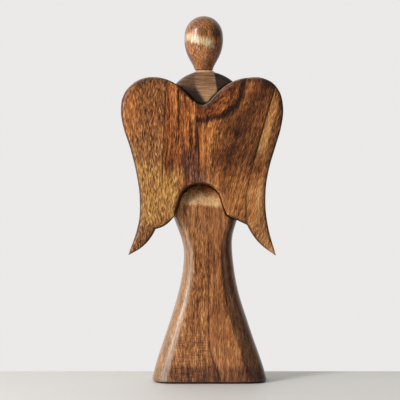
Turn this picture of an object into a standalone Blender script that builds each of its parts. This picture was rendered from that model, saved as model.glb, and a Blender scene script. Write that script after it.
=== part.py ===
"""Carved wooden angel figurine: a faceless egg head, a heart-shaped pair of wings and a bell-shaped body.

The body is one carved block. The wings are two boards, edge-glued, that lie against a ledge cut into
the body's front. Dowels hold the wings and the head. A felt sheet is glued under the base.

Metres, +Z up. The figure faces -Y. The origin is the middle of the base's underside.
"""

import math

import bmesh
import bpy
import numpy as np
from mathutils import Matrix
from mathutils.geometry import interpolate_bezier

MM = 0.001

# Driving dimensions, millimetres
HEIGHT = 333.2
GAP = 0.3  # glue line between touching pieces
FELT_THICKNESS = 1.0
FELT_INSET = 2.0
BODY_BOTTOM = FELT_THICKNESS + GAP
FOOT_ROUND = 0.8

WING_FRONT = -26.0
WING_THICKNESS = 18.0
WING_BACK = WING_FRONT + WING_THICKNESS
WING_X = -6.3  # the figure leans, so that its wings sit left of the base's middle
WING_EDGE_ROUND = 3.6
WING_CLEARANCE = 0.8  # around the wings, where they are let into the body
SEAM_TOP = (-12.9, 262.0)
SEAM_BOTTOM = (-9.0, 172.0)

LEDGE = WING_BACK + GAP  # the flat that the wings are glued to
SKIRT_FRONT = -18.0
TORSO_BACK = 20.0
SHOULDER_CORNER = 5.5
SHOULDER_CORNER_DEPTH = 8.0
HIP_CREASE = 161.0  # the skirt's front slopes back to the ledge, from this height
HIP_TOP = 181.0
SHOULDER_X = -2.6
SHOULDER_Z = 246.2
SHOULDER_RADIUS = 36.3
COLLAR_X = -4.0
COLLAR_RADIUS = 8.6

HEAD_X = -4.7
HEAD_BOTTOM = 283.2
COLLAR_TOP = HEAD_BOTTOM - GAP
BODY_MIDDLE_Y = 1.0

DOWEL_RADIUS = 3.0
NECK_DOWEL_LOW = 266.0
NECK_DOWEL_HIGH = 300.0
WING_DOWEL_FRONT = -18.0
WING_DOWEL_BACK = 3.0
WING_DOWELS = {
    "wing_left_dowel_upper": (-25.0, 238.0),
    "wing_left_dowel_lower": (-25.0, 192.0),
    "wing_right_dowel_upper": (14.0, 238.0),
    "wing_right_dowel_lower": (14.0, 192.0),
}

# Cutters reach this far past the middle, beyond the whole figure
CUT_REACH = 60.0
SAW_REACH = 120.0

CORNER_POWER = 0.8  # of an ellipse's cosine and sine: below 1 makes the corners squarer

# Fineness of the mesh
BODY_ROWS = 38
SHOULDER_ROWS = 10
CORNER_STEPS = 7
OUTLINE_STEPS = 4
HEAD_ROWS = 22
HEAD_SIDES = 36
DOWEL_SIDES = 24

# The body at rising heights: height, left side, right side, front, back, and then its corners'
# width at the left, width at the right and depth
BODY_STATIONS = [
    (BODY_BOTTOM, -51.9, 52.9, -25.0, 25.0, 19.5, 25.0, 21.0),
    (14.0, -48.7, 49.2, -24.4, 24.6, 19.0, 24.5, 21.0),
    (36.0, -41.7, 41.4, -23.4, 23.8, 17.6, 23.2, 21.0),
    (58.0, -34.4, 34.0, -22.4, 23.0, 15.6, 21.6, 21.0),
    (80.0, -28.0, 27.2, -21.3, 22.3, 13.6, 19.6, 21.0),
    (102.0, -23.7, 23.0, -20.2, 21.5, 11.0, 16.4, 20.4),
    (122.0, -23.3, 21.2, -19.2, 20.9, 9.4, 13.6, 19.6),
    (131.0, -25.5, 21.4, -18.8, 20.6, 9.0, 12.4, 19.0),
    (143.6, -30.2, 24.8, -18.2, 20.3, 9.0, 11.0, 18.0),
    (156.0, -34.6, 28.6, SKIRT_FRONT, TORSO_BACK, 9.0, 10.0, 16.0),
    (180.0, -37.0, 31.0, SKIRT_FRONT, TORSO_BACK, 8.0, 8.5, 13.0),
    (210.0, -38.2, 32.6, SKIRT_FRONT, TORSO_BACK, 6.5, 6.5, 10.0),
    (SHOULDER_Z, -38.9, 33.7, SKIRT_FRONT, TORSO_BACK, 5.5, 5.5, 8.0),
]

# The head's turned profile, top to bottom: radius and height
HEAD_PROFILE = [
    (0.0, HEIGHT),
    (7.6, 331.2),
    (12.8, 327.2),
    (16.4, 321.2),
    (17.8, 312.4),
    (16.9, 303.2),
    (14.3, 295.8),
    (10.6, 289.1),
    (8.8, 285.3),
    (8.3, HEAD_BOTTOM),
]

# The wings' outline, clockwise from the notch at the top, measured from their own middle.
# A corner is a sharp turn; between corners the outline is one smooth curve.
WING_OUTLINE = [
    ("corner", 1.1, 249.7),
    ("smooth", 5.6, 252.4),
    ("smooth", 12.4, 259.7),
    ("smooth", 25.6, 270.0),
    ("smooth", 42.5, 274.6),
    ("smooth", 57.6, 273.0),
    ("smooth", 68.0, 264.6),
    ("smooth", 72.6, 250.0),
    ("smooth", 71.4, 232.5),
    ("smooth", 66.0, 213.0),
    ("smooth", 59.7, 190.8),
    ("smooth", 56.9, 168.5),
    ("smooth", 58.6, 144.0),
    ("corner", 66.3, 114.6),
    ("smooth", 52.6, 124.9),
    ("smooth", 45.2, 134.0),
    ("corner", 40.6, 142.3),
    ("smooth", 30.8, 147.0),
    ("corner", 22.6, 151.5),
    ("smooth", 19.8, 158.1),
    ("smooth", 13.6, 173.0),
    ("smooth", -1.3, 179.2),
    ("smooth", -16.2, 173.0),
    ("smooth", -22.4, 158.1),
    ("corner", -25.0, 150.0),
    ("smooth", -29.0, 145.2),
    ("smooth", -35.0, 140.8),
    ("corner", -41.9, 138.4),
    ("smooth", -45.2, 132.3),
    ("smooth", -52.7, 123.4),
    ("corner", -66.0, 115.2),
    ("smooth", -57.0, 144.0),
    ("smooth", -55.8, 164.0),
    ("smooth", -58.6, 187.3),
    ("smooth", -64.4, 211.0),
    ("smooth", -71.0, 232.0),
    ("smooth", -72.7, 246.0),
    ("smooth", -70.4, 258.6),
    ("smooth", -63.0, 268.4),
    ("smooth", -53.0, 273.9),
    ("smooth", -42.4, 275.1),
    ("smooth", -31.0, 272.7),
    ("smooth", -21.8, 267.7),
    ("smooth", -11.2, 257.6),
    ("smooth", -4.6, 251.8),
]

# The pointed corners, and how far from each one the edge rounding reaches its full radius
WING_POINTS = [
    (66.3, 114.6, 23.5),
    (-66.0, 115.2, 23.5),
    (22.6, 151.5, 6.2),
    (-25.0, 150.0, 6.2),
]
POINT_ROUND = 0.03  # share of the full radius at the point itself

WOOD_WARM = (0.36, 0.16, 0.055)
WOOD_GOLD = (0.42, 0.22, 0.075)
WOOD_DARK = (0.27, 0.12, 0.045)
WOOD_PALE = (0.62, 0.43, 0.25)
FELT_GREY = (0.06, 0.055, 0.05)


def clear_scene():
    """Remove every object that the file opened with."""
    for thing in list(bpy.data.objects):
        bpy.data.objects.remove(thing, do_unlink=True)


def new_collection(name):
    """A collection linked to the scene."""
    made = bpy.data.collections.new(name)
    bpy.context.scene.collection.children.link(made)
    return made


def new_material(name, colour, roughness):
    """A Principled material for wood or felt."""
    material = bpy.data.materials.new(name)
    material.use_nodes = True
    shader = material.node_tree.nodes["Principled BSDF"]
    shader.inputs["Base Color"].default_value = (*colour, 1.0)
    shader.inputs["Roughness"].default_value = roughness
    shader.inputs["Metallic"].default_value = 0.0
    return material


def object_from_bmesh(name, shape, collection):
    """Turn a bmesh into a linked object."""
    mesh = bpy.data.meshes.new(name)
    shape.to_mesh(mesh)
    shape.free()
    made = bpy.data.objects.new(name, mesh)
    collection.objects.link(made)
    return made


def cylinder(name, radius, low, high, collection):
    """A closed cylinder, upright or front to back, between two end points in millimetres."""
    start = np.array(low, float)
    end = np.array(high, float)
    shape = bmesh.new()
    bmesh.ops.create_cone(
        shape,
        cap_ends=True,
        segments=DOWEL_SIDES,
        radius1=radius * MM,
        radius2=radius * MM,
        depth=float(np.linalg.norm(end - start)) * MM,
    )
    upright = start[1] == end[1]
    turn = Matrix.Rotation(math.radians(0.0 if upright else 90.0), 4, "X")
    shape.transform(Matrix.Translation((start + end) / 2.0 * MM) @ turn)
    return object_from_bmesh(name, shape, collection)


def boolean(target, other, operation):
    """Cut or join a target with another object."""
    step = target.modifiers.new(f"{operation.lower()} {other.name}", "BOOLEAN")
    step.operation = operation
    step.object = other
    step.solver = "EXACT"


def as_cutter(piece):
    """Show a piece as a wire guide that is not part of the object."""
    piece.hide_render = True
    piece.display_type = "WIRE"


def smooth_through(table, height):
    """Read a row of values at a height, on smooth curves through the table's rows."""
    rows = np.array(table, float)
    heights = rows[:, 0]
    slopes = np.gradient(rows[:, 1:], heights, axis=0)
    i = int(np.clip(np.searchsorted(heights, height) - 1, 0, len(rows) - 2))
    span = heights[i + 1] - heights[i]
    t = (height - heights[i]) / span
    start = (2 * t**3 - 3 * t**2 + 1) * rows[i, 1:] + (t**3 - 2 * t**2 + t) * span * slopes[i]
    end = (-2 * t**3 + 3 * t**2) * rows[i + 1, 1:] + (t**3 - t**2) * span * slopes[i + 1]
    return start + end


def shoulder_section(angle):
    """The body's section above the shoulders' middle, at an angle up the shoulder circle."""
    half = SHOULDER_RADIUS * math.cos(angle)
    height = SHOULDER_Z + SHOULDER_RADIUS * math.sin(angle)
    share = (half - COLLAR_RADIUS) / (SHOULDER_RADIUS - COLLAR_RADIUS)
    half_depth = COLLAR_RADIUS + share * ((TORSO_BACK - SKIRT_FRONT) / 2.0 - COLLAR_RADIUS)
    middle_x = COLLAR_X + share * (SHOULDER_X - COLLAR_X)
    front = BODY_MIDDLE_Y - half_depth
    back = BODY_MIDDLE_Y + half_depth
    roundness = (1.0 - share) ** 2
    corner = SHOULDER_CORNER + roundness * (half - SHOULDER_CORNER)
    deep = SHOULDER_CORNER_DEPTH + roundness * (half_depth - SHOULDER_CORNER_DEPTH)
    return height, (middle_x - half, middle_x + half, front, back, corner, corner, deep)


def flattened(value):
    """A cosine or sine, raised to the corners' power."""
    return math.copysign(abs(value) ** CORNER_POWER, value)


def ring_points(height, section, inset=0.0):
    """A closed ring: a rectangle with elliptical corners, anticlockwise from above."""
    left, right, front, back, corner_left, corner_right, deep = section
    left += inset
    right -= inset
    front += inset
    back -= inset
    deep = min(deep, (back - front) / 2.0)
    corners = [
        (right - corner_right, front + deep, corner_right, -90.0),
        (right - corner_right, back - deep, corner_right, 0.0),
        (left + corner_left, back - deep, corner_left, 90.0),
        (left + corner_left, front + deep, corner_left, 180.0),
    ]
    points = []
    for middle_x, middle_y, wide, start in corners:
        for i in range(CORNER_STEPS + 1):
            angle = math.radians(start + 90.0 * i / CORNER_STEPS)
            x = middle_x + wide * flattened(math.cos(angle))
            y = middle_y + deep * flattened(math.sin(angle))
            points.append((x * MM, y * MM, height * MM))
    return points


def loft(name, rings, collection):
    """Skin a stack of rings with equal numbers of points, and close both ends."""
    shape = bmesh.new()
    layers = [[shape.verts.new(point) for point in ring] for ring in rings]
    count = len(rings[0])
    for low, high in zip(layers, layers[1:]):
        for i in range(count):
            j = (i + 1) % count
            shape.faces.new((low[i], low[j], high[j], high[i]))
    shape.faces.new(list(reversed(layers[0])))
    shape.faces.new(layers[-1])
    bmesh.ops.remove_doubles(shape, verts=shape.verts, dist=0.00001)
    bmesh.ops.dissolve_degenerate(shape, edges=shape.edges, dist=0.00001)
    return object_from_bmesh(name, shape, collection)


def body_rings():
    """The body's rings from the base to the collar that the head stands on."""
    rings = [ring_points(BODY_BOTTOM, BODY_STATIONS[0][1:], FOOT_ROUND)]
    for height in np.linspace(BODY_BOTTOM + FOOT_ROUND, SHOULDER_Z, BODY_ROWS):
        rings.append(ring_points(height, smooth_through(BODY_STATIONS, height)))
    top = math.acos(COLLAR_RADIUS / SHOULDER_RADIUS)
    for i in range(1, SHOULDER_ROWS + 1):
        height, section = shoulder_section(top * i / SHOULDER_ROWS)
        rings.append(ring_points(height, section))
    rings.append(ring_points(COLLAR_TOP, section))
    return rings


def wing_outline():
    """The outline's points, anticlockwise, and the share of the edge rounding that each one takes."""
    curve = bpy.data.curves.new("wing_guide", "CURVE")
    spline = curve.splines.new("BEZIER")
    spline.bezier_points.add(len(WING_OUTLINE) - 1)
    spline.use_cyclic_u = True
    for point, (kind, x, z) in zip(spline.bezier_points, reversed(WING_OUTLINE)):
        point.co = (WING_X + x, z, 0.0)
        handle = "VECTOR" if kind == "corner" else "AUTO"
        point.handle_left_type = handle
        point.handle_right_type = handle
    guide = bpy.data.objects.new("wing_guide", curve)
    bpy.context.scene.collection.objects.link(guide)
    bpy.context.view_layer.update()
    knots = list(spline.bezier_points)
    points = []
    for start, end in zip(knots, knots[1:] + knots[:1]):
        run = interpolate_bezier(start.co, start.handle_right, end.handle_left, end.co, OUTLINE_STEPS + 1)
        points.extend((p.x, p.y) for p in run[:-1])
    bpy.data.objects.remove(guide, do_unlink=True)
    bpy.data.curves.remove(curve)
    outline = np.array(points)
    share = np.ones(len(outline))
    for x, z, fade in WING_POINTS:
        apart = np.linalg.norm(outline - (WING_X + x, z), axis=1)
        share = np.minimum(share, POINT_ROUND + apart / fade)
    return outline, share


def outward(outline):
    """The direction and length by which each point moves when the outline grows by 1 mm."""
    along = np.roll(outline, -1, axis=0) - outline
    along /= np.linalg.norm(along, axis=1)[:, None]
    normal = np.column_stack([along[:, 1], -along[:, 0]])
    both = normal + np.roll(normal, 1, axis=0)
    return 2.0 * both / np.maximum((both**2).sum(axis=1), 0.2)[:, None]


def wing_plate(name, front, back, edge_round, grow, collection):
    """The wings' outline as a plate, back to front, with edges rounded less at its points."""
    outline, share = wing_outline()
    push = outward(outline)
    radius = edge_round * share
    turns = np.radians([90.0, 45.0, 0.0]) if edge_round else [math.radians(90.0)]
    rings = []
    for turn in turns:
        flat = outline + push * (grow - radius * (1.0 - math.cos(turn)))[:, None]
        rings.append((flat, back - radius * (1.0 - math.sin(turn))))
    for turn in reversed(turns):
        flat = outline + push * (grow - radius * (1.0 - math.cos(turn)))[:, None]
        rings.append((flat, front + radius * (1.0 - math.sin(turn))))
    stack = [
        [(x * MM, y * MM, z * MM) for (x, z), y in zip(flat, depth)] for flat, depth in rings
    ]
    return loft(name, stack, collection)


def seam_x(height):
    """The glue seam's place across the figure, at a height."""
    lean = (SEAM_TOP[0] - SEAM_BOTTOM[0]) / (SEAM_TOP[1] - SEAM_BOTTOM[1])
    return SEAM_BOTTOM[0] + lean * (height - SEAM_BOTTOM[1])


def prism_cutter(name, corners, depth, collection):
    """A cutter: a flat shape, given by its corners, pulled straight along a depth vector."""
    shape = bmesh.new()
    start = [shape.verts.new((x * MM, y * MM, z * MM)) for x, y, z in corners]
    face = shape.faces.new(start)
    grown = bmesh.ops.extrude_face_region(shape, geom=[face])
    moved = [v for v in grown["geom"] if isinstance(v, bmesh.types.BMVert)]
    bmesh.ops.translate(shape, verts=moved, vec=[d * MM for d in depth])
    bmesh.ops.recalc_face_normals(shape, faces=shape.faces)
    cutter = object_from_bmesh(name, shape, collection)
    as_cutter(cutter)
    return cutter


def seam_saw(name, side, collection):
    """A cutter on one side of the glue seam, its face set back by half the glue line."""
    top = SEAM_TOP[1] + CUT_REACH
    foot = SEAM_BOTTOM[1] - SAW_REACH
    set_back = -side * GAP / 2.0
    corners = [
        (seam_x(top) + set_back, -CUT_REACH, top),
        (seam_x(foot) + set_back, -CUT_REACH, foot),
        (seam_x(foot) + set_back + side * SAW_REACH, -CUT_REACH, foot),
        (seam_x(top) + set_back + side * SAW_REACH, -CUT_REACH, top),
    ]
    return prism_cutter(name, corners, (0.0, 2.0 * CUT_REACH, 0.0), collection)


def hip_wedge(collection):
    """A cutter for the slope that leads from the skirt's front back to the ledge."""
    steep = (LEDGE - SKIRT_FRONT) / (HIP_TOP - HIP_CREASE)
    low = HIP_CREASE - (CUT_REACH + SKIRT_FRONT) / steep
    corners = [
        (-CUT_REACH, LEDGE, HIP_TOP),
        (-CUT_REACH, -CUT_REACH, HIP_TOP),
        (-CUT_REACH, -CUT_REACH, low),
    ]
    return prism_cutter("hip_wedge", corners, (2.0 * CUT_REACH, 0.0, 0.0), collection)


def dowel_hole(name, low, high, collection):
    """A cutter one glue line larger than the dowel all round."""
    hole = cylinder(name, DOWEL_RADIUS + GAP, low, high, collection)
    as_cutter(hole)
    return hole


def make_body(parts, cutters):
    """The carved block, with the ledge for the wings."""
    body = loft("body", body_rings(), parts)
    ledge = wing_plate("wing_ledge", -CUT_REACH, LEDGE, 0.0, WING_CLEARANCE, cutters)
    as_cutter(ledge)
    boolean(body, ledge, "DIFFERENCE")
    boolean(body, hip_wedge(cutters), "DIFFERENCE")
    return body


def make_head(parts):
    """The turned egg, on a profile spun about its own axis."""
    head = bpy.data.objects.new("head", bpy.data.meshes.new("head"))
    shape = bmesh.new()
    profile = head_outline()
    line = [shape.verts.new((radius * MM, 0.0, height * MM)) for radius, height in profile]
    for start, end in zip(line, line[1:]):
        shape.edges.new((start, end))
    shape.to_mesh(head.data)
    shape.free()
    head.location = (HEAD_X * MM, BODY_MIDDLE_Y * MM, 0.0)
    parts.objects.link(head)
    spin = head.modifiers.new("turned", "SCREW")
    spin.angle = math.radians(360.0)
    spin.screw_offset = 0.0
    spin.steps = HEAD_SIDES
    spin.render_steps = HEAD_SIDES
    spin.use_merge_vertices = True
    spin.merge_threshold = 0.00001
    return head


def head_outline():
    """Points down the head's profile, ending on the axis at its flat foot."""
    rows = np.array(HEAD_PROFILE, float)
    walked = np.concatenate([[0.0], np.cumsum(np.hypot(*np.diff(rows, axis=0).T))])
    table = np.column_stack([walked, rows])
    points = [tuple(smooth_through(table, d)) for d in np.linspace(0.0, walked[-1], HEAD_ROWS)]
    points[0] = (0.0, HEIGHT)
    return points + [(0.0, HEAD_BOTTOM)]


def make_wings(parts, cutters):
    """One heart-shaped plate, sawn into its two boards at the glue seam."""
    boards = []
    for name, side in (("wing_left", 1), ("wing_right", -1)):
        board = wing_plate(name, WING_FRONT, WING_BACK, WING_EDGE_ROUND, 0.0, parts)
        saw = seam_saw(f"{name}_saw", side, cutters)
        boolean(board, saw, "DIFFERENCE")
        boards.append(board)
    return boards


def add_dowels(parts, cutters, body, head, boards):
    """Dowels and their blind holes in the neck, the head and the wings."""
    made = []
    low = (HEAD_X, BODY_MIDDLE_Y, NECK_DOWEL_LOW)
    high = (HEAD_X, BODY_MIDDLE_Y, NECK_DOWEL_HIGH)
    made.append(cylinder("neck_dowel", DOWEL_RADIUS, low, high, parts))
    low_hole = (low[0], low[1], low[2] - GAP)
    high_hole = (high[0], high[1], high[2] + GAP)
    hole = dowel_hole("neck_dowel_hole", low_hole, high_hole, cutters)
    boolean(body, hole, "DIFFERENCE")
    boolean(head, hole, "DIFFERENCE")
    for name, (x, z) in WING_DOWELS.items():
        front = (x, WING_DOWEL_FRONT, z)
        back = (x, WING_DOWEL_BACK, z)
        made.append(cylinder(name, DOWEL_RADIUS, front, back, parts))
        front_hole = (x, WING_DOWEL_FRONT - GAP, z)
        back_hole = (x, WING_DOWEL_BACK + GAP, z)
        hole = dowel_hole(f"{name}_hole", front_hole, back_hole, cutters)
        boolean(body, hole, "DIFFERENCE")
        board = boards[0] if "left" in name else boards[1]
        boolean(board, hole, "DIFFERENCE")
    return made


def make_felt(parts):
    """The sheet under the base, set in from its edge."""
    inset = FELT_INSET + FOOT_ROUND
    heights = (0.0, FELT_THICKNESS)
    rings = [ring_points(height, BODY_STATIONS[0][1:], inset) for height in heights]
    return loft("base_felt", rings, parts)


def finish(piece, material, smooth_angle):
    """Give a piece its material and its shading."""
    piece.data.materials.clear()
    piece.data.materials.append(material)
    piece.data.shade_smooth()
    piece.data.set_sharp_from_angle(angle=math.radians(smooth_angle))


def build():
    """Make the whole figure."""
    clear_scene()
    parts = new_collection("wooden_angel_figurine")
    cutters = new_collection("cutters")
    warm = new_material("wood_warm", WOOD_WARM, 0.42)
    gold = new_material("wood_gold", WOOD_GOLD, 0.42)
    dark = new_material("wood_dark", WOOD_DARK, 0.42)
    pale = new_material("wood_pale", WOOD_PALE, 0.7)
    felt = new_material("felt", FELT_GREY, 0.95)
    body = make_body(parts, cutters)
    head = make_head(parts)
    boards = make_wings(parts, cutters)
    dowels = add_dowels(parts, cutters, body, head, boards)
    sheet = make_felt(parts)
    finish(body, warm, 40.0)
    finish(head, warm, 40.0)
    finish(boards[0], gold, 40.0)
    finish(boards[1], dark, 40.0)
    finish(sheet, felt, 30.0)
    for dowel in dowels:
        finish(dowel, pale, 40.0)


build()
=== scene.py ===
"""Looks for the carved wooden angel: smooth carved meshes, figured wood and soft studio light."""

import math

import bmesh
import bpy
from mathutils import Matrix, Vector


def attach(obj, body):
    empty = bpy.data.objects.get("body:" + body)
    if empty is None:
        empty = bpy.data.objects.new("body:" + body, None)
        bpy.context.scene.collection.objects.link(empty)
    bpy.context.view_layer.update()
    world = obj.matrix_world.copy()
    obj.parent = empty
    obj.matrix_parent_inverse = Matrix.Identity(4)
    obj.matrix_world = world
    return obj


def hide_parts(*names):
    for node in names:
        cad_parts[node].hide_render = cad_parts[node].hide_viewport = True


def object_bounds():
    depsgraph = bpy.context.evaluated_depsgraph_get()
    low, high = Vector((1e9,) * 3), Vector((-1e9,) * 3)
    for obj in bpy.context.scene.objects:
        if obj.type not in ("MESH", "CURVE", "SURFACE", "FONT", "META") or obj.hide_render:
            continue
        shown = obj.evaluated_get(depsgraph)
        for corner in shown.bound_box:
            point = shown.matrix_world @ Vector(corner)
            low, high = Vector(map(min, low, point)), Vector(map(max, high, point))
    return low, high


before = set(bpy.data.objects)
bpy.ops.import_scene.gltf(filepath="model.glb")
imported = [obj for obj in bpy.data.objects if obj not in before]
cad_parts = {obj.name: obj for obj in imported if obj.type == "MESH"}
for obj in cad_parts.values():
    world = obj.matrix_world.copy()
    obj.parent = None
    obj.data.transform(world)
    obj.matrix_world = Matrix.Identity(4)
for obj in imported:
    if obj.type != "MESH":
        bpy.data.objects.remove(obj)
CAD_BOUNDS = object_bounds()

MM = 0.001

# Carved meshes
BODY_VOXEL = 0.88 * MM
WING_VOXEL = 0.5 * MM
BODY_SANDING = 4  # passes
HEAD_SANDING = 6
WING_SANDING = 5
CARVING_DEPTH = 0.22 * MM
HEAD_CARVING_DEPTH = 0.1 * MM
CARVING_SIZE = 30.0 * MM
SHARP_ANGLE = math.radians(50.0)
SAME_PLACE = 0.01 * MM
SAME_PLANE = 0.1 * MM
SAME_DIRECTION = 0.999  # least cosine between two directions
SIDEWAYS = 0.95  # least cosine between a glued face's direction and x

# The seam between the boards
SEAM_OVERLAP = 3.0 * MM  # each board is made this much too wide, and then sawn back to the seam
CAD_SETBACK = 0.15 * MM  # a CAD board's glued face lies this far from the seam's middle
SETBACK = 0.03 * MM

# Lights: direction from the figure, distance, width and height, power
LIGHTS = {
    "key": ((-1.25, -1.0, 0.72), 1.3, (0.26, 0.90), 15.5),
    "window": ((-1.0, -0.3, 0.35), 2.4, (0.6, 1.6), 10.0),
    "fill": ((1.2, -1.0, 0.4), 1.6, (1.0, 1.0), 0.7),
}

# The room around the figure
ROOM_COLOUR = (1.0, 0.99, 0.97, 1.0)
BACKDROP_COLOUR = (0.83, 0.82, 0.81, 1.0)
BRIGHT_SIDE = (-0.6, 0.8, 0.0)  # the direction of the room's brightest wall
BRIGHT_WALL = 0.80
DIM_WALL = 0.04
DIM_FROM = -0.4  # cosines from the bright side, where the wall is dim and where it is bright
BRIGHT_FROM = 0.8
CEILING = 0.35

TABLE_SIZE = (2.4, 1.1, 0.03)
TABLE_END = 0.062  # behind the figure's middle
TABLE_HEIGHT = -0.1 * MM
TABLE_COLOUR = (0.65, 0.632, 0.605, 1.0)

CAMERA_PLACE = (-0.0081, -1.17, 0.1647)
CAMERA_LENS = 115.2
CAMERA_SENSOR = 36.0


# ---------------------------------------------------------------- meshes


def copy_of(node):
    """A new object with its own copy of a CAD node's mesh."""
    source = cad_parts[node]
    made = bpy.data.objects.new(f"{node}_carved", source.data.copy())
    made.data.materials.clear()
    bpy.context.scene.collection.objects.link(made)
    return made


def weld(piece):
    """Join the vertices that the CAD's sharp shading split."""
    shape = bmesh.new()
    shape.from_mesh(piece.data)
    bmesh.ops.remove_doubles(shape, verts=shape.verts, dist=SAME_PLACE)
    shape.to_mesh(piece.data)
    shape.free()


def apply_modifiers(piece):
    """Replace a piece's mesh by its evaluated one."""
    graph = bpy.context.evaluated_depsgraph_get()
    mesh = bpy.data.meshes.new_from_object(piece.evaluated_get(graph))
    piece.modifiers.clear()
    old = piece.data
    piece.data = mesh
    bpy.data.meshes.remove(old)


def sand(piece, voxel, passes):
    """Remesh a piece evenly and soften its edges, as sandpaper does."""
    remesh = piece.modifiers.new("even", "REMESH")
    remesh.mode = "VOXEL"
    remesh.voxel_size = voxel
    remesh.use_smooth_shade = True
    smooth = piece.modifiers.new("sanded", "SMOOTH")
    smooth.factor = 0.5
    smooth.iterations = passes
    apply_modifiers(piece)


def tool_marks(piece, depth):
    """Raise and sink the surface a little, in broad soft waves, as hand carving leaves it."""
    texture = bpy.data.textures.new(f"{piece.name}_waves", "CLOUDS")
    texture.noise_scale = CARVING_SIZE
    texture.noise_depth = 1
    waves = piece.modifiers.new("carved", "DISPLACE")
    waves.texture = texture
    waves.texture_coords = "GLOBAL"
    waves.strength = depth
    waves.mid_level = 0.5
    apply_modifiers(piece)


def seam_plane(node):
    """A point on a board's glued face, and the direction that it faces."""
    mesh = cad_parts[node].data
    face = max(mesh.polygons, key=lambda p: p.area * (abs(p.normal.x) > SIDEWAYS))
    faces = [p for p in mesh.polygons if p.normal.dot(face.normal) > SAME_DIRECTION]
    side = [p for p in faces if abs((p.center - face.center).dot(face.normal)) < SAME_PLANE]
    return side[0].center.copy(), side[0].normal.copy()


def saw(piece, point, normal):
    """Cut off what lies beyond a plane, and close the cut."""
    shape = bmesh.new()
    shape.from_mesh(piece.data)
    everything = list(shape.verts) + list(shape.edges) + list(shape.faces)
    cut = bmesh.ops.bisect_plane(
        shape, geom=everything, plane_co=point, plane_no=normal, clear_outer=True
    )
    rim = [e for e in cut["geom_cut"] if isinstance(e, bmesh.types.BMEdge)]
    bmesh.ops.holes_fill(shape, edges=rim, sides=0)
    shape.to_mesh(piece.data)
    shape.free()


def make_board(node):
    """One wing board: widened past the seam, sanded, and then sawn flat at the seam."""
    point, normal = seam_plane(node)
    piece = copy_of(node)
    weld(piece)
    for vertex in piece.data.vertices:
        if abs((vertex.co - point).dot(normal)) < SAME_PLANE:
            vertex.co += normal * SEAM_OVERLAP
    sand(piece, WING_VOXEL, WING_SANDING)
    tool_marks(piece, CARVING_DEPTH)
    saw(piece, point + normal * (CAD_SETBACK - SETBACK), normal)
    return finish_mesh(piece)


def make_carving(node, passes, depth):
    """A solid piece, sanded, with faint tool marks."""
    piece = copy_of(node)
    weld(piece)
    sand(piece, BODY_VOXEL, passes)
    tool_marks(piece, depth)
    return finish_mesh(piece)


def finish_mesh(piece):
    """Smooth shading, with only true corners left sharp."""
    piece.data.shade_smooth()
    piece.data.set_sharp_from_angle(angle=SHARP_ANGLE)
    return piece


# ---------------------------------------------------------------- shader building


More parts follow.
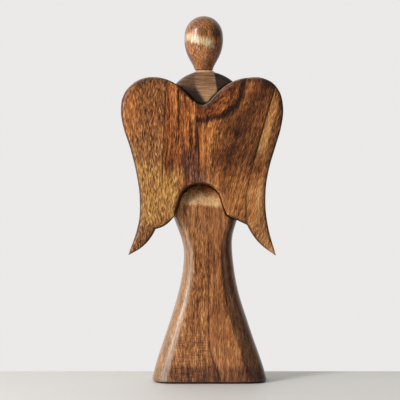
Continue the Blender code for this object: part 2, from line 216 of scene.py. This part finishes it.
class Nodes:
    """Short calls for building a material. Lengths in a pattern are millimetres.

    A level runs from 0, a palette's darkest colour, to 1, its lightest. A share runs from 0 to 1.
    """

    def __init__(self, name):
        self.material = bpy.data.materials.new(name)
        self.material.use_nodes = True
        self.tree = self.material.node_tree
        self.shader = self.tree.nodes["Principled BSDF"]
        place = self.tree.nodes.new("ShaderNodeTexCoord")
        scale = self.tree.nodes.new("ShaderNodeVectorMath")
        scale.operation = "SCALE"
        scale.inputs["Scale"].default_value = 1.0 / MM
        self.tree.links.new(place.outputs["Object"], scale.inputs[0])
        split = self.tree.nodes.new("ShaderNodeSeparateXYZ")
        self.tree.links.new(scale.outputs[0], split.inputs[0])
        self.x, self.y, self.z = split.outputs
        facing = self.tree.nodes.new("ShaderNodeSeparateXYZ")
        self.tree.links.new(place.outputs["Normal"], facing.inputs[0])
        self.rightward = facing.outputs["X"]
        self.upward = facing.outputs["Z"]
        self.forward = self.size(facing.outputs["Y"])  # 1 on faces that look straight ahead or back

    def put(self, socket, value):
        """Link a socket, or set its own value."""
        if isinstance(value, bpy.types.NodeSocket):
            self.tree.links.new(value, socket)
        else:
            socket.default_value = value

    def math(self, operation, a, b=0.0, clamp=False):
        """One sum on two numbers."""
        node = self.tree.nodes.new("ShaderNodeMath")
        node.operation = operation
        node.use_clamp = clamp
        self.put(node.inputs[0], a)
        self.put(node.inputs[1], b)
        return node.outputs[0]

    def add(self, a, b):
        """a + b."""
        return self.math("ADD", a, b)

    def less(self, a, b):
        """a - b."""
        return self.math("SUBTRACT", a, b)

    def times(self, a, b):
        """a * b."""
        return self.math("MULTIPLY", a, b)

    def over(self, a, b):
        """a / b."""
        return self.math("DIVIDE", a, b)

    def either(self, a, b):
        """The larger of two numbers."""
        return self.math("MAXIMUM", a, b)

    def both(self, first, *others):
        """The product of several shares."""
        for other in others:
            first = self.times(first, other)
        return first

    def size(self, value):
        """A number without its sign."""
        return self.math("ABSOLUTE", value)

    def full(self, share, gain):
        """A share raised by a gain, but never above 1."""
        return self.math("MULTIPLY", share, gain, clamp=True)

    def swing(self, pattern):
        """A pattern of 0 to 1 as a swing about 0."""
        return self.less(pattern, 0.5)

    def slant(self, height, slope):
        """How far right a place lies of a line that is at x = 0 at a height, and leans by a slope."""
        return self.add(self.x, self.times(self.less(self.z, height), -slope))

    def curve(self, way, power, gain):
        """A way's power times a gain, and 0 where the way is below 0."""
        return self.times(self.math("POWER", self.either(way, 0.0), power), gain)

    def step(self, value, low, high):
        """Rise smoothly from 0 at low to 1 at high; low may be above high."""
        node = self.tree.nodes.new("ShaderNodeMapRange")
        node.interpolation_type = "SMOOTHSTEP"
        self.put(node.inputs["Value"], value)
        self.put(node.inputs["From Min"], low)
        self.put(node.inputs["From Max"], high)
        return node.outputs["Result"]

    def bump_at(self, value, centre, width):
        """1 where value is at centre, falling smoothly to 0 at width from it."""
        return self.step(self.size(self.less(value, centre)), width, 0.0)

    def reach(self, centre, size=(1.0, 1.0)):
        """Distance on the front from a centre, in sizes: both are x, z pairs."""
        across = self.over(self.less(self.x, centre[0]), size[0])
        up = self.over(self.less(self.z, centre[1]), size[1])
        return self.math("SQRT", self.add(self.times(across, across), self.times(up, up)))

    def spot(self, centre, size):
        """1 at a centre on the front, falling smoothly to 0 at its rim: both are x, z pairs."""
        return self.step(self.reach(centre, size), 1.0, 0.0)

    def vector(self, x, y, z):
        """Three numbers as one vector."""
        node = self.tree.nodes.new("ShaderNodeCombineXYZ")
        self.put(node.inputs[0], x)
        self.put(node.inputs[1], y)
        self.put(node.inputs[2], z)
        return node.outputs[0]

    def noise(self, across, along, detail=2.0, rough=0.5, twist=0.0, at=None, seed=0.0):
        """Soft noise whose grains measure across and along millimetres."""
        place = at or (self.x, self.y, self.z)
        spread = self.vector(
            self.add(self.over(place[0], across), seed),
            self.over(place[1], across),
            self.over(place[2], along),
        )
        node = self.tree.nodes.new("ShaderNodeTexNoise")
        self.put(node.inputs["Vector"], spread)
        node.inputs["Scale"].default_value = 1.0
        node.inputs["Detail"].default_value = detail
        node.inputs["Roughness"].default_value = rough
        node.inputs["Distortion"].default_value = twist
        return node.outputs[0]

    def level(self, *patterns):
        """A half, plus each pattern's swing times its gain."""
        total = 0.5
        for pattern, gain in patterns:
            total = self.add(total, self.times(self.swing(pattern), gain))
        return total

    def lift(self, level, share, amount):
        """Raise or lower a level by an amount where share is 1."""
        return self.add(level, self.times(share, amount))

    def dye(self, level, palette):
        """Colour a level by a palette."""
        node = self.tree.nodes.new("ShaderNodeValToRGB")
        points = node.color_ramp.elements
        for place in PALETTE_PLACES[2:]:
            points.new(place)
        for point, place, colour in zip(points, PALETTE_PLACES, palette):
            point.position = place
            point.color = linear(colour)
        self.put(node.inputs[0], level)
        return node.outputs[0]

    def blend(self, share, a, b):
        """Mix two colours: a where share is 0, b where it is 1."""
        node = self.tree.nodes.new("ShaderNodeMix")
        node.data_type = "RGBA"
        self.put(node.inputs["Factor"], share)
        self.put(node.inputs["A"], a)
        self.put(node.inputs["B"], b)
        return node.outputs["Result"]

    def redye(self, colour, share, level, palette):
        """Colour again by a level and a palette where share is 1."""
        return self.blend(share, colour, self.dye(level, palette))


def linear(colour):
    """A screen colour of 0 to 255 as the renderer's linear colour."""
    scaled = [c / 255.0 for c in colour]
    return (*[((c + 0.055) / 1.055) ** 2.4 if c > 0.04 else c / 12.92 for c in scaled], 1.0)


# ---------------------------------------------------------------- palettes

# Each palette runs from the wood's darkest pores to its lightest fibres
PALETTE_PLACES = (0.0, 0.28, 0.50, 0.74, 1.0)
OCHRE = ((46, 26, 14), (100, 60, 34), (146, 96, 54), (190, 136, 82), (226, 182, 124))
GOLDEN = ((72, 42, 20), (128, 82, 42), (172, 118, 62), (208, 156, 86), (238, 200, 130))
RUSSET = ((36, 18, 9), (92, 46, 22), (138, 76, 35), (184, 108, 51), (226, 154, 86))
UMBER = ((30, 17, 9), (70, 40, 21), (108, 66, 34), (158, 102, 54), (208, 152, 92))
SAP = ((90, 52, 26), (140, 90, 48), (182, 124, 70), (212, 158, 94), (234, 192, 132))
MAROON = ((40, 18, 12), (92, 42, 26), (134, 66, 38), (176, 96, 58), (212, 140, 94))
PURPLE = ((32, 20, 18), (64, 40, 34), (94, 60, 48), (132, 88, 66), (176, 128, 98))
DRAB = ((46, 31, 21), (87, 59, 40), (130, 91, 61), (164, 122, 86), (198, 158, 120))
# Darkest brown: the wood's real dark veins, and painted shade on edges, corners, the head's sides and
# the chest's sides
VEIN_AND_SHADE = ((9, 4, 2), (18, 9, 5), (30, 16, 8), (48, 28, 15), (70, 45, 28))
CREAM = ((128, 98, 66), (178, 148, 106), (208, 180, 138), (228, 206, 168), (240, 224, 194))
# Painted light: the skirt's left side, coloured as lit by the lamps
LIT_TAN = ((92, 64, 38), (134, 102, 64), (166, 132, 90), (192, 160, 118), (216, 188, 148))
# Painted highlights on the boards' edges and the skirt's left corner
PALE_HIGHLIGHT = ((120, 100, 82), (150, 130, 110), (176, 156, 134), (200, 180, 158), (220, 202, 182))
BEECH = ((150, 108, 66), (190, 148, 100), (214, 178, 130), (226, 196, 150), (240, 216, 176))


# ---------------------------------------------------------------- wood

# Places on the front and sizes across and up, millimetres
LEFT_LOBE = (-46.5, 243.0)
RIGHT_LOBE = (35.0, 243.0)
KNOT = (-8.0, 277.0)  # the middle of the round that the knot's ring follows
KNOT_SIZE = (38.0, 39.0)
RING_RADIUS = 40.0
KNOT_POWER = 2.5  # 2 would make the round an ellipse, and more makes it squarer


def wavy_place(wood, amount, size, seed=0.0, lean=0.0):
    """The place, pushed sideways by slow noise and a lean, so that straight grain wanders."""
    push = wood.noise(size, size * 2.0, detail=1.0, seed=seed)
    moved = wood.add(wood.x, wood.times(wood.swing(push), amount * 2.0))
    if lean:
        moved = wood.add(moved, wood.times(wood.less(wood.z, 200.0), lean))
    return moved, wood.y, wood.z


def grain(wood, at, seed):
    """Fine fibres, broad streaks and slow patches, all along the board."""
    fibres = wood.noise(0.65, 6.5, detail=4.0, rough=0.70, twist=0.3, at=at, seed=seed)
    streaks = wood.noise(3.0, 46.0, detail=3.0, rough=0.55, twist=0.3, at=at, seed=seed + 13.0)
    patches = wood.noise(14.0, 34.0, detail=1.0, twist=0.4, at=at, seed=seed + 29.0)
    return fibres, streaks, patches


def dashes(wood, seed, width, length, lean=0.0):
    """Short wavy dashes, as figured wood shows where its fibres interlock."""
    at = wavy_place(wood, 2.2, 5.0, seed, lean)
    return wood.noise(width, length, rough=0.6, twist=0.15, at=at, seed=seed + 5.0)


def lacquer(wood, colour, relief, worn=0.0):
    """Satin lacquer over stained wood, with the grain's slight relief, thin where worn is 1."""
    shader = wood.shader
    wood.put(shader.inputs["Base Color"], colour)
    rough = wood.add(0.30, wood.times(relief, 0.14))
    wood.put(shader.inputs["Roughness"], wood.add(rough, wood.times(worn, 0.3)))
    wood.put(shader.inputs["Coat Weight"], wood.add(0.6, wood.times(worn, -0.55)))
    shader.inputs["Coat Roughness"].default_value = 0.20
    shader.inputs["Specular IOR Level"].default_value = 0.25
    shader.inputs["IOR"].default_value = 1.5
    bump = wood.tree.nodes.new("ShaderNodeBump")
    bump.inputs["Strength"].default_value = 0.4
    bump.inputs["Distance"].default_value = 0.3 * MM
    wood.put(bump.inputs["Height"], relief)
    wood.tree.links.new(bump.outputs[0], shader.inputs["Normal"])
    return wood.material


def shaded_board_edge(wood, colour, level, lit_arch_edge=0.0):
    """A board's edge with painted shade where it turns from the front, and a painted highlight where
    it faces up and left towards the lamps. Also how far the edge is worn.

    The edge gets no painted shade where the share of lit arch edges is 1.
    """
    edge = wood.step(wood.forward, 0.99, 0.72)
    # Painted highlight where the edge faces up and left, towards the lamps
    lit_rim = wood.both(wood.step(wood.upward, 0.25, 0.75), wood.step(wood.rightward, 0.45, 0.0))
    unshaded = wood.either(wood.times(lit_rim, 0.75), lit_arch_edge)
    # Painted shade on the edge where it turns from the front, except where it is lit
    dark = wood.both(edge, wood.less(1.0, unshaded), 0.78)
    colour = wood.redye(colour, dark, level, VEIN_AND_SHADE)
    colour = wood.redye(colour, wood.both(edge, lit_rim, 0.55), level, PALE_HIGHLIGHT)
    return colour, wood.step(wood.forward, 0.998, 0.91)


def smoky_rim(wood, level, lobe):
    """Darken a lobe's top towards its rim."""
    rim = wood.step(wood.reach(lobe), 24.0, 33.0)
    return wood.lift(level, wood.both(rim, wood.step(wood.z, 236.0, 256.0)), -0.24)


def centre_line(wood):
    """The share of the dark bowed line down the wings' middle, on both sides of the seam."""
    way = wood.times(wood.less(wood.z, 200.0), 0.027)
    line = wood.add(-9.2, wood.times(wood.times(way, way), -3.0))
    return wood.both(wood.bump_at(wood.x, line, 1.6), wood.bump_at(wood.z, 206.0, 38.0))


def dowel_wood():
    """Straight-grained pale beech."""
    wood = Nodes("wood_dowel")
    fibres, streaks, _ = grain(wood, wavy_place(wood, 3.0, 20.0, 80.0), 80.0)
    level = wood.level((fibres, 1.4), (streaks, 1.2))
    return lacquer(wood, wood.dye(level, BEECH), fibres)


def head_wood():
    """Reddish brown wood with a band of pale sapwood slanting across it, and painted shade at its
    sides.
    """
    wood = Nodes("wood_head")
    fibres, streaks, patches = grain(wood, wavy_place(wood, 2.0, 12.0, 60.0), 60.0)
    ripple = dashes(wood, 66.0, 0.8, 6.0)
    level = wood.level((fibres, 2.2), (streaks, 1.0), (ripple, 0.8), (patches, 0.4))
    level = wood.lift(level, wood.spot((7.0, 317.0), (6.0, 10.0)), -0.34)
    level = wood.lift(level, wood.spot((-4.0, 296.0), (11.0, 9.0)), 0.12)
    level = wood.add(level, 0.09)
    colour = wood.blend(0.35, wood.dye(level, RUSSET), wood.dye(level, OCHRE))

    middle = wood.add(306.4, wood.times(wood.x, -0.30))
    torn = wood.add(wood.z, wood.times(wood.swing(ripple), 9.0))
    band = wood.full(wood.bump_at(torn, middle, 5.6), 1.5)
    band = wood.both(band, wood.step(wood.x, 9.0, -1.0))
    colour = wood.redye(colour, band, wood.add(level, -0.08), CREAM)
    top = wood.step(wood.less(wood.z, middle), 4.0, 10.0)
    colour = wood.redye(colour, wood.times(top, 0.5), wood.lift(level, top, -0.1), UMBER)
    # Painted shade: darker where the head turns away to its sides
    side = wood.step(wood.forward, 0.60, 0.15)
    colour = wood.redye(colour, wood.times(side, 0.75), level, VEIN_AND_SHADE)
    return lacquer(wood, colour, fibres)


def rippled_ochre(wood, fibres, ripple, patches):
    """The left board's outer part: golden low down, redder at the top and at the left edge."""
    level = wood.level((ripple, 2.1), (fibres, 1.3), (patches, 0.3))
    level = wood.lift(level, wood.step(wood.z, 226.0, 240.0), -0.05)
    level = smoky_rim(wood, wood.add(level, -0.04), LEFT_LOBE)
    colour = wood.blend(0.15, wood.dye(level, OCHRE), wood.dye(level, RUSSET))
    level = wood.lift(level, wood.spot((-34.0, 172.0), (13.0, 16.0)), 0.07)
    golden = wood.both(wood.step(wood.z, 206.0, 186.0), wood.step(wood.z, 138.0, 152.0))
    colour = wood.redye(colour, golden, level, GOLDEN)
    left = wood.both(wood.step(wood.x, -60.0, -68.0), wood.step(wood.z, 214.0, 226.0))
    colour = wood.redye(colour, wood.times(left, 0.7), wood.lift(level, left, 0.36), RUSSET)
    upper = wood.times(wood.step(wood.z, 205.0, 235.0), 0.35)
    return wood.redye(colour, upper, wood.add(level, 0.02), RUSSET)


def streaked_russet(wood, fibres, streaks, ripple):
    """The left board's part beside the seam, with a purple bruise low down. Also its level."""
    level = wood.level((fibres, 2.0), (streaks, 2.1), (ripple, 1.3))
    level = wood.lift(level, wood.spot((-31.0, 225.0), (3.0, 30.0)), -0.16)
    level = wood.lift(level, wood.spot((-16.5, 221.0), (2.6, 26.0)), -0.2)
    middle = wood.spot((-23.0, 227.0), (4.0, 16.0))
    bright = wood.either(middle, wood.spot((-17.0, 240.0), (9.0, 6.0)))
    level = wood.lift(level, bright, 0.2)
    colour = wood.dye(level, RUSSET)
    level = smoky_rim(wood, level, LEFT_LOBE)
    level = wood.lift(level, centre_line(wood), -0.65)
    wide = wood.spot((-18.0, 196.0), (15.0, 22.0))
    bruise = wood.either(wide, wood.spot((-11.0, 183.0), (13.0, 17.0)))
    return wood.redye(colour, wood.times(bruise, 0.85), level, PURPLE), level


def left_board_wood():
    """Rippled ochre wood, a bent dark vein, and streaked russet wood between it and the seam."""
    wood = Nodes("wood_wing_left")
    fibres, streaks, patches = grain(wood, wavy_place(wood, 2.5, 18.0), 0.0)
    ripple = dashes(wood, 3.0, 0.66, 4.6)
    outer = rippled_ochre(wood, fibres, ripple, patches)
    inner, level = streaked_russet(wood, fibres, streaks, ripple)

    way = wood.times(wood.less(wood.z, 166.0), 0.0098)
    line = wood.add(-42.0, wood.curve(way, 1.7, 3.8))
    past = wood.less(wood.x, line)
    high = wood.either(wood.step(wood.z, 179.0, 199.0), wood.step(wood.x, -30.0, -20.0))
    colour = wood.blend(wood.both(wood.step(past, -1.0, 1.0), high), outer, inner)
    vein = wood.both(wood.bump_at(past, 0.0, 1.1), wood.step(wood.z, 160.0, 190.0))
    colour = wood.redye(colour, wood.times(vein, 0.8), level, VEIN_AND_SHADE)
    colour, worn = shaded_board_edge(wood, colour, level)
    return lacquer(wood, colour, fibres, worn)


def knot_reach(wood, patches):
    """Distance from the knot's middle, in a squarish round that wanders a little."""
    across = wood.size(wood.over(wood.less(wood.x, KNOT[0]), KNOT_SIZE[0]))
    down = wood.size(wood.over(wood.less(wood.z, KNOT[1]), KNOT_SIZE[1]))
    total = wood.add(wood.curve(across, KNOT_POWER, 1.0), wood.curve(down, KNOT_POWER, 1.0))
    reach = wood.curve(total, 1.0 / KNOT_POWER, KNOT_SIZE[1])
    return wood.add(reach, wood.times(wood.swing(patches), 4.0))


def heartwood(wood, level, patches):
    """Dark wood with an orange wedge beside the seam and a knot's ring. Also its level."""
    shadow = wood.slant(223.0, 0.557)
    above = wood.step(wood.z, 180.0, 200.0)
    level = wood.lift(level, wood.both(wood.bump_at(shadow, 24.0, 13.0), above), -0.16)
    level = wood.lift(level, wood.spot((14.0, 208.0), (14.0, 16.0)), -0.13)
    above = wood.step(wood.z, 178.0, 200.0)
    level = wood.lift(level, wood.both(wood.step(shadow, 24.0, 34.0), above), -0.08)
    level = wood.lift(level, wood.spot((23.5, 226.0), (8.0, 9.0)), -0.22)
    wedge = wood.step(wood.slant(190.0, 0.31), -3.0, -10.0)
    orange = wood.both(wedge, wood.bump_at(wood.z, 213.0, 40.0))
    level = wood.lift(level, orange, 0.22)
    level = wood.lift(level, wood.step(wood.z, 204.0, 172.0), 0.15)

    reach = knot_reach(wood, patches)
    ring = wood.bump_at(reach, RING_RADIUS, 4.4)
    dark = wood.either(ring, wood.times(centre_line(wood), 1.3))
    level = wood.lift(level, dark, -0.6)
    colour = wood.blend(0.42, wood.dye(level, UMBER), wood.dye(level, RUSSET))
    knot = wood.step(reach, RING_RADIUS + 1.0, RING_RADIUS - 3.0)
    level = wood.lift(level, knot, -0.12)
    colour = wood.redye(colour, wood.either(knot, orange), level, RUSSET)
    low = wood.spot((-8.8, 239.0), (2.4, 4.5))
    rosy = wood.either(wood.spot((0.0, 244.5), (3.2, 2.6)), low)
    return wood.redye(colour, rosy, wood.lift(level, rosy, 0.45), MAROON), level


def sapwood_strip(wood, colour, level, past):
    """A pale strip past a line, aged low down, and ochre wood outside it. Also the level."""
    strip = wood.both(wood.step(past, -0.4, 0.6), wood.step(past, 9.0, 5.5))
    strip = wood.both(strip, wood.add(0.35, wood.times(wood.step(wood.z, 200.0, 225.0), 0.65)))
    pale = wood.lift(level, wood.bump_at(wood.z, 218.0, 34.0), 0.16)
    pale = wood.lift(pale, wood.step(wood.z, 206.0, 190.0), -0.22)
    colour = wood.redye(colour, strip, pale, SAP)
    outside = wood.step(past, 6.5, 9.0)
    level = wood.lift(level, wood.both(outside, wood.step(wood.z, 168.0, 145.0)), 0.07)
    colour = wood.redye(colour, wood.times(outside, 0.5), level, OCHRE)
    patch = wood.spot((46.5, 189.0), (6.0, 15.0))
    level = wood.lift(level, patch, -0.2)
    low_strip = wood.both(strip, wood.step(wood.z, 205.0, 190.0), 0.45)
    aged = wood.times(wood.either(patch, low_strip), 0.7)
    return wood.redye(colour, aged, level, RUSSET), level


def right_board_wood():
    """Dark heartwood with a knot's ring near the notch, and a pale strip of sapwood at the right."""
    wood = Nodes("wood_wing_right")
    lean = wood.times(wood.step(wood.x, -8.0, 24.0), -0.27)
    fibres, streaks, patches = grain(wood, wavy_place(wood, 2.5, 18.0, 2.0, lean), 21.0)
    ripple = dashes(wood, 24.0, 0.65, 5.0, lean)
    level = wood.level((fibres, 2.0), (streaks, 1.0), (ripple, 1.3), (patches, 0.5))
    level = smoky_rim(wood, level, RIGHT_LOBE)
    colour, level = heartwood(wood, level, patches)

    line = wood.add(33.6, wood.curve(wood.less(wood.z, 168.0), 1.15, 0.134))
    past = wood.less(wood.x, line)
    colour, level = sapwood_strip(wood, colour, level, past)
    bruise = wood.times(wood.spot((-8.0, 183.0), (13.0, 17.0)), 0.8)
    colour = wood.redye(colour, bruise, wood.add(level, -0.12), PURPLE)
    vein = wood.times(wood.bump_at(past, -0.7, 1.5), 0.85)
    colour = wood.redye(colour, vein, level, VEIN_AND_SHADE)
    arch = wood.both(wood.step(wood.z, 192.0, 182.0), wood.step(wood.x, 24.0, 20.0))
    # Edges at the arch that face left, towards the lamps, get no painted shade
    lit_arch_edge = wood.both(wood.step(wood.rightward, -0.2, -0.6), arch)
    colour, worn = shaded_board_edge(wood, colour, level, lit_arch_edge)
    return lacquer(wood, colour, fibres, worn)


def skirt_level(wood, fibres, streaks, patches):
    """The body's level: dashes at the left, a dark bent line down the front, a dark foot, and painted
    light low at the right.
    """
    leftward = wood.step(wood.x, 4.0, -6.0)
    ripple = dashes(wood, 46.0, 0.75, 5.5)
    level = wood.level((fibres, 1.9), (streaks, 1.0), (patches, 0.4))
    level = wood.lift(level, wood.both(leftward, wood.swing(ripple)), 1.2)
    level = wood.add(level, 0.03)
    # Painted light: the low right of the front made paler, where the lamps' light falls off
    low_right_light = wood.both(wood.step(wood.x, 6.0, 12.0), wood.step(wood.z, 76.0, 50.0))
    level = wood.lift(level, low_right_light, 0.07)
    line = wood.add(-0.6, wood.curve(wood.less(40.0, wood.z), 1.5, 0.05))
    past = wood.less(wood.x, line)
    dark = wood.both(wood.bump_at(past, 0.0, 1.1), wood.step(wood.z, 135.0, 125.0))
    level = wood.lift(level, dark, -0.3)
    pale = wood.both(wood.bump_at(past, 3.2, 1.8), wood.bump_at(wood.z, 88.0, 28.0))
    level = wood.lift(level, pale, 0.3)
    low_pale = wood.both(wood.bump_at(past, 3.4, 2.6), wood.bump_at(wood.z, 20.0, 20.0))
    level = wood.lift(level, low_pale, 0.25)
    level = wood.lift(level, wood.spot((-15.0, 43.0), (14.0, 16.0)), -0.08)
    level = wood.lift(level, wood.step(wood.z, 19.0, 12.0), -0.24)
    rays = wood.swing(wood.noise(9.0, 0.75, rough=0.6, twist=0.2, seed=90.0))
    return wood.lift(level, wood.both(rays, leftward, wood.step(wood.z, 62.0, 34.0)), 0.8)


def tongue_light_share(wood, patches):
    """1 on the sloping cut between the skirt and the ledge, at the front only: paler wood there, with
    painted light where the slope faces up.
    """
    lower = wood.add(wood.z, wood.add(wood.times(wood.x, 0.12), wood.times(patches, 5.0)))
    slope = wood.both(wood.step(lower, 159.5, 164.0), wood.step(wood.z, 177.0, 164.0))
    return wood.both(slope, wood.step(wood.y, 2.0, -6.0))


def corner_light_and_shade(wood, colour, level, calm):
    """Painted shade round the skirt's right corner, where it faces away from the lamps, and a painted
    highlight and a lit, paler side round its left one.
    """
    # Painted shade on the right corner, which faces away from the lamps
    right_shade = wood.both(wood.step(wood.rightward, 0.11, 0.24), wood.step(wood.z, 168.0, 150.0))
    right_shade = wood.times(right_shade, wood.add(0.54, wood.times(wood.step(wood.z, 84.0, 50.0), 0.10)))
    colour = wood.redye(colour, right_shade, level, VEIN_AND_SHADE)
    # A band of painted shade where the right corner turns most
    band = wood.both(wood.bump_at(wood.rightward, 0.26, 0.14), wood.bump_at(wood.z, 112.0, 60.0))
    colour = wood.redye(colour, wood.times(band, 0.5), level, VEIN_AND_SHADE)
    low = wood.step(wood.z, 148.0, 120.0)
    # Painted highlight where the left corner turns towards the lamps
    corner = wood.full(wood.bump_at(wood.rightward, -0.34, 0.30), 1.5)
    colour = wood.redye(colour, wood.both(corner, low, 0.6), wood.add(calm, 0.06), PALE_HIGHLIGHT)
    # The left side painted lighter, as lit by the lamps
    side = wood.step(wood.rightward, -0.45, -0.75)
    return wood.redye(colour, wood.both(side, low, 0.6), wood.add(calm, -0.10), LIT_TAN)


def chest_colour_and_shade(wood, colour, fibres):
    """Drab wood above the wings, with painted shade at both sides, a painted highlight along the top
    under the head and painted light low in the middle. Also the painted shade's share.
    """
    lines = wood.noise(16.0, 0.6, detail=3.0, rough=0.6, twist=0.2, seed=70.0)
    level = wood.level((lines, 1.5), (fibres, 0.7))
    # Painted highlight: a pale line along the top front edge, under the head
    level = wood.lift(level, wood.step(wood.z, 280.8, 281.6), 0.9)
    # Painted light: the lower middle of the chest made paler
    level = wood.lift(level, wood.step(wood.z, 272.0, 258.0), 0.32)
    chest = wood.both(wood.step(wood.z, 226.0, 250.0), wood.step(wood.y, 14.0, 4.0))
    colour = wood.redye(colour, chest, level, DRAB)

    # Painted shade: dark on the left beside the wing, stronger low down, and at the right beside the
    # neck
    left_line = wood.add(-11.8, wood.curve(wood.less(269.0, wood.z), 1.2, 0.345))
    left = wood.step(wood.less(wood.x, left_line), 1.5, -3.0)
    left = wood.times(left, wood.add(0.54, wood.times(wood.step(wood.z, 272.0, 262.0), 0.46)))
    right_line = wood.curve(wood.less(281.0, wood.z), 1.0, 0.14)
    right = wood.step(wood.less(wood.x, right_line), 4.0, 5.6)
    chest_shade = wood.both(wood.either(left, right), chest)
    # The painted shade is darkest low down
    level = wood.lift(level, wood.step(wood.z, 272.0, 260.0), -0.6)
    return wood.redye(colour, wood.times(chest_shade, 0.95), level, VEIN_AND_SHADE), chest_shade


def body_wood():
    """Brown wood: dashed at the left, straighter at the right, with a drab chest."""
    wood = Nodes("wood_body")
    fibres, streaks, patches = grain(wood, wavy_place(wood, 2.5, 18.0, 4.0), 40.0)
    # Paler wood and painted light on the up-facing slope above the skirt
    lit_tongue = tongue_light_share(wood, patches)
    level = wood.lift(skirt_level(wood, fibres, streaks, patches), lit_tongue, 0.3)
    colour = wood.blend(0.35, wood.dye(level, RUSSET), wood.dye(level, OCHRE))
    drab = wood.add(0.13, wood.times(wood.bump_at(wood.z, 146.0, 30.0), 0.2))
    colour = wood.redye(colour, drab, wood.add(level, 0.03), DRAB)
    calm = wood.level((fibres, 0.8), (streaks, 0.5))
    # Painted shade and light round the skirt's corners
    colour = corner_light_and_shade(wood, colour, level, calm)
    # The slope above the skirt dyed pale: partly paler wood, partly painted light
    colour = wood.redye(colour, wood.times(lit_tongue, 0.6), level, SAP)
    colour = wood.redye(colour, wood.times(lit_tongue, 0.4), wood.add(level, -0.3), CREAM)
    # Painted shade at the chest's sides; the coat is thinned there too
    colour, chest_shade = chest_colour_and_shade(wood, colour, fibres)
    return lacquer(wood, colour, fibres, chest_shade)


def felt():
    """Matt pressed felt."""
    cloth = Nodes("felt")
    fuzz = cloth.noise(0.25, 0.25, detail=3.0, rough=0.7)
    share = cloth.times(cloth.less(fuzz, 0.3), 2.5)
    colour = cloth.blend(share, linear((34, 31, 28)), linear((70, 64, 58)))
    cloth.put(cloth.shader.inputs["Base Color"], colour)
    cloth.shader.inputs["Roughness"].default_value = 0.95
    return cloth.material


# ---------------------------------------------------------------- pieces


def set_material(piece, material):
    """Give every face of a piece one material."""
    piece.data.materials.clear()
    piece.data.materials.append(material)


def add_piece(piece, node, material):
    """Show a carved piece in place of its CAD node."""
    set_material(piece, material)
    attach(piece, "root")
    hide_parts(node)


def make_figure():
    """Every visible piece of the figure."""
    body = make_carving("body", BODY_SANDING, CARVING_DEPTH)
    add_piece(body, "body", body_wood())
    head = make_carving("head", HEAD_SANDING, HEAD_CARVING_DEPTH)
    add_piece(head, "head", head_wood())
    add_piece(make_board("wing_left"), "wing_left", left_board_wood())
    add_piece(make_board("wing_right"), "wing_right", right_board_wood())
    pale = dowel_wood()
    for name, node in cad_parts.items():
        if "dowel" in name:
            set_material(node, pale)
    set_material(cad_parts["base_felt"], felt())


# ---------------------------------------------------------------- stage


def make_floor():
    """A pale table top that ends a little behind the figure."""
    shape = bmesh.new()
    bmesh.ops.create_cube(shape, size=1.0)
    piece = bpy.data.objects.new("table_top", bpy.data.meshes.new("table_top"))
    shape.to_mesh(piece.data)
    shape.free()
    piece.scale = TABLE_SIZE
    _, depth, thickness = TABLE_SIZE
    piece.location = (0.0, TABLE_END - depth / 2.0, TABLE_HEIGHT - thickness / 2.0)
    bpy.context.scene.collection.objects.link(piece)
    material = bpy.data.materials.new("pale_table")
    material.use_nodes = True
    shader = material.node_tree.nodes["Principled BSDF"]
    shader.inputs["Base Color"].default_value = TABLE_COLOUR
    shader.inputs["Roughness"].default_value = 0.6
    piece.data.materials.append(material)


def make_world():
    """A white room that is brightest behind the figure and overhead, and a plain backdrop."""
    world = bpy.data.worlds.new("studio")
    bpy.context.scene.world = world
    world.use_nodes = True
    nodes = world.node_tree.nodes
    links = world.node_tree.links
    backdrop = nodes["Background"]
    backdrop.inputs["Color"].default_value = BACKDROP_COLOUR
    room = nodes.new("ShaderNodeBackground")
    room.inputs["Color"].default_value = ROOM_COLOUR
    way = nodes.new("ShaderNodeTexCoord")
    split = nodes.new("ShaderNodeSeparateXYZ")
    toward = nodes.new("ShaderNodeVectorMath")
    toward.operation = "DOT_PRODUCT"
    toward.inputs[1].default_value = BRIGHT_SIDE
    walls = nodes.new("ShaderNodeMapRange")
    walls.inputs["From Min"].default_value = DIM_FROM
    walls.inputs["From Max"].default_value = BRIGHT_FROM
    walls.inputs["To Min"].default_value = DIM_WALL
    walls.inputs["To Max"].default_value = BRIGHT_WALL
    ceiling = nodes.new("ShaderNodeMapRange")
    ceiling.inputs["To Max"].default_value = CEILING
    total = nodes.new("ShaderNodeMath")
    path = nodes.new("ShaderNodeLightPath")
    mix = nodes.new("ShaderNodeMixShader")
    links.new(way.outputs["Generated"], split.inputs[0])
    links.new(way.outputs["Generated"], toward.inputs[0])
    links.new(toward.outputs["Value"], walls.inputs["Value"])
    links.new(split.outputs["Z"], ceiling.inputs["Value"])
    links.new(walls.outputs["Result"], total.inputs[0])
    links.new(ceiling.outputs["Result"], total.inputs[1])
    links.new(total.outputs[0], room.inputs["Strength"])
    links.new(path.outputs["Is Camera Ray"], mix.inputs[0])
    links.new(room.outputs[0], mix.inputs[1])
    links.new(backdrop.outputs[0], mix.inputs[2])
    links.new(mix.outputs[0], nodes["World Output"].inputs["Surface"])


def make_lights():
    """A key light from the upper left front, a tall window at the left, a weak fill at the right."""
    low, high = CAD_BOUNDS
    middle = (low + high) / 2.0
    for name, (direction, distance, size, power) in LIGHTS.items():
        lamp = bpy.data.lights.new(name, "AREA")
        lamp.shape = "RECTANGLE"
        lamp.size, lamp.size_y = size
        lamp.energy = power
        light = bpy.data.objects.new(name, lamp)
        way = Vector(direction).normalized()
        light.location = middle + way * distance
        light.rotation_euler = way.to_track_quat("Z", "Y").to_euler()
        bpy.context.scene.collection.objects.link(light)


def make_camera():
    """The camera, level with the figure's middle."""
    data = bpy.data.cameras.new("camera")
    data.lens = CAMERA_LENS
    data.sensor_width = CAMERA_SENSOR
    camera = bpy.data.objects.new("camera", data)
    camera.location = CAMERA_PLACE
    camera.rotation_euler = (math.radians(90.0), 0.0, 0.0)
    bpy.context.scene.collection.objects.link(camera)
    bpy.context.scene.camera = camera


make_camera()
make_floor()
make_world()
make_lights()
make_figure()
bpy.context.scene.view_settings.view_transform = "Standard"
